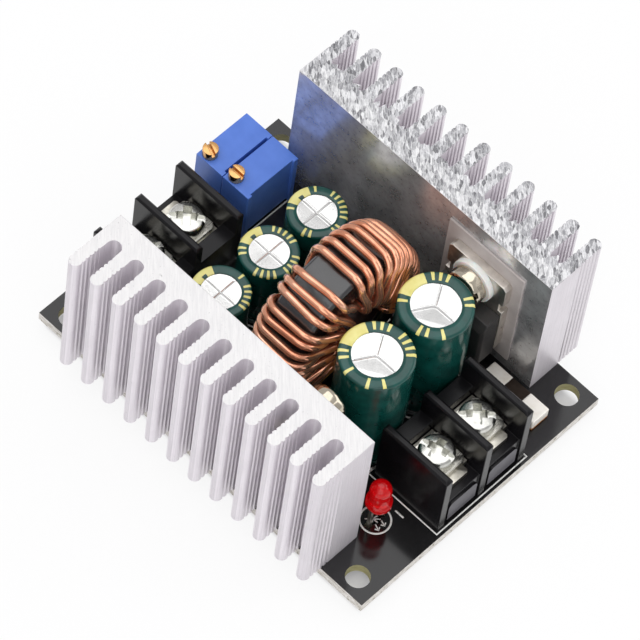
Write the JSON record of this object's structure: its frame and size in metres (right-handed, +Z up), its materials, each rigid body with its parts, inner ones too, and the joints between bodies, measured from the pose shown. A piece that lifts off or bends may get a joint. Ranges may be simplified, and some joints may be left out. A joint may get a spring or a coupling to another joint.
{
  "type": "boost converter module",
  "caption": "Black circuit board with finned heatsinks on its long sides, a wound toroid inductor, sleeved capacitors, blue trimmers and screw terminals for power in and out.",
  "frame": {"origin": "centre of the four mounting holes on the underside of the board", "axes": "+X along the heatsinks towards the input terminal, +Y towards the rear heatsink, +Z up from the board to the components"},
  "size_m": [0.06, 0.053, 0.0285],
  "materials": {
    "board": "black solder resist on glass laminate, glossy",
    "heatsink": "extruded aluminium, satin, sawn ends",
    "tinned_pins": "tinned wire",
    "chip_moulding": "black epoxy moulding",
    "plated_tab": "nickel-plated copper, satin",
    "insulating_pad": "grey filled silicone",
    "white_nylon": "white nylon",
    "plated_screw": "bright nickel plating",
    "terminal_plastic": "black moulded plastic, glossy",
    "tinned_contact": "tinned brass",
    "plated_clamp": "bright plated steel",
    "trimmer_blue": "blue moulded plastic, satin",
    "trimmer_brass": "bare brass, machined",
    "can": "bare aluminium, scored",
    "sleeve": "dark green shrink sleeve with a cream stripe",
    "bung": "black rubber",
    "core": "black coated powdered iron",
    "copper_wire": "enamelled copper wire",
    "lamp": "clear red epoxy",
    "shunt_tin": "tinned copper",
    "shunt_alloy": "dark resistance alloy",
    "solder": "tin solder"
  },
  "bodies": {
    "module": {"circuit_board": "board", "front_heatsink": "heatsink", "rear_heatsink": "heatsink", "heatsink_pins": "tinned_pins", "front_device_case": "chip_moulding", "rear_device_case": "chip_moulding", "front_device_leadframe": "plated_tab", "rear_device_leadframe": "plated_tab", "front_insulator": "insulating_pad", "rear_insulator": "insulating_pad", "front_bushing": "white_nylon", "rear_bushing": "white_nylon", "front_device_screw": "plated_screw", "rear_device_screw": "plated_screw", "input_terminal_housing": "terminal_plastic", "output_terminal_housing": "terminal_plastic", "input_contacts": "tinned_contact", "output_contacts": "tinned_contact", "voltage_trimmer_body": "trimmer_blue", "current_trimmer_body": "trimmer_blue", "voltage_trimmer_pins": "tinned_pins", "current_trimmer_pins": "tinned_pins", "small_capacitor_a": "can", "small_capacitor_b": "can", "small_capacitor_c": "can", "big_capacitor_a": "can", "big_capacitor_b": "can", "small_sleeve_a": "sleeve", "small_sleeve_b": "sleeve", "small_sleeve_c": "sleeve", "big_sleeve_a": "sleeve", "big_sleeve_b": "sleeve", "capacitor_bungs": "bung", "capacitor_leads": "tinned_pins", "inductor_core": "core", "inductor_winding": "copper_wire", "lamp_body": "lamp", "lamp_leads": "tinned_pins", "shunt_ends": "shunt_tin", "shunt_strip": "shunt_alloy", "controller_chip": "chip_moulding", "amplifier_chip": "chip_moulding", "regulator_chip": "chip_moulding", "chip_feet": "tinned_pins", "solder_joints": "solder"},
    "current_adjuster": {"current_trimmer_screw": "trimmer_brass"},
    "voltage_adjuster": {"voltage_trimmer_screw": "trimmer_brass"},
    "input_a_clamp": {"input_clamp_a": "plated_clamp"},
    "input_a_screw": {"input_screw_a": "plated_screw"},
    "input_b_clamp": {"input_clamp_b": "plated_clamp"},
    "input_b_screw": {"input_screw_b": "plated_screw"},
    "output_a_clamp": {"output_clamp_a": "plated_clamp"},
    "output_a_screw": {"output_screw_a": "plated_screw"},
    "output_b_clamp": {"output_clamp_b": "plated_clamp"},
    "output_b_screw": {"output_screw_b": "plated_screw"}
  },
  "joints": [
    {"name": "current_adjust", "type": "hinge", "parent": "module", "child": "current_adjuster", "pos_m": [-0.02823, 0.00674, 0.0116], "axis": [0, 0, 1], "continuous": true},
    {"name": "voltage_adjust", "type": "hinge", "parent": "module", "child": "voltage_adjuster", "pos_m": [-0.0233, 0.00674, 0.0116], "axis": [0, 0, 1], "continuous": true},
    {"name": "input_a_lift", "type": "slide", "parent": "module", "child": "input_a_clamp", "axis": [0, 0, 1], "range_m": [0, 0.0015]},
    {"name": "input_a_turn", "type": "hinge", "parent": "input_a_clamp", "child": "input_a_screw", "pos_m": [0.0236, -0.00321, 0.0091], "axis": [0, 0, 1], "range_deg": [0, 1080]},
    {"name": "input_b_lift", "type": "slide", "parent": "module", "child": "input_b_clamp", "axis": [0, 0, 1], "range_m": [0, 0.0015]},
    {"name": "input_b_turn", "type": "hinge", "parent": "input_b_clamp", "child": "input_b_screw", "pos_m": [0.0236, 0.00441, 0.0091], "axis": [0, 0, 1], "range_deg": [0, 1080]},
    {"name": "output_a_lift", "type": "slide", "parent": "module", "child": "output_a_clamp", "axis": [0, 0, 1], "range_m": [0, 0.0015]},
    {"name": "output_a_turn", "type": "hinge", "parent": "output_a_clamp", "child": "output_a_screw", "pos_m": [-0.0236, -0.00217, 0.0091], "axis": [0, 0, 1], "range_deg": [0, 1080]},
    {"name": "output_b_lift", "type": "slide", "parent": "module", "child": "output_b_clamp", "axis": [0, 0, 1], "range_m": [0, 0.0015]},
    {"name": "output_b_turn", "type": "hinge", "parent": "output_b_clamp", "child": "output_b_screw", "pos_m": [-0.0236, -0.00979, 0.0091], "axis": [0, 0, 1], "range_deg": [0, 1080]}
  ],
  "couplings": [
    {"joint": "input_a_turn", "follows": "input_a_lift", "rad_per_m": 12566},
    {"joint": "input_b_turn", "follows": "input_b_lift", "rad_per_m": 12566},
    {"joint": "output_a_turn", "follows": "output_a_lift", "rad_per_m": 12566},
    {"joint": "output_b_turn", "follows": "output_b_lift", "rad_per_m": 12566}
  ]
}
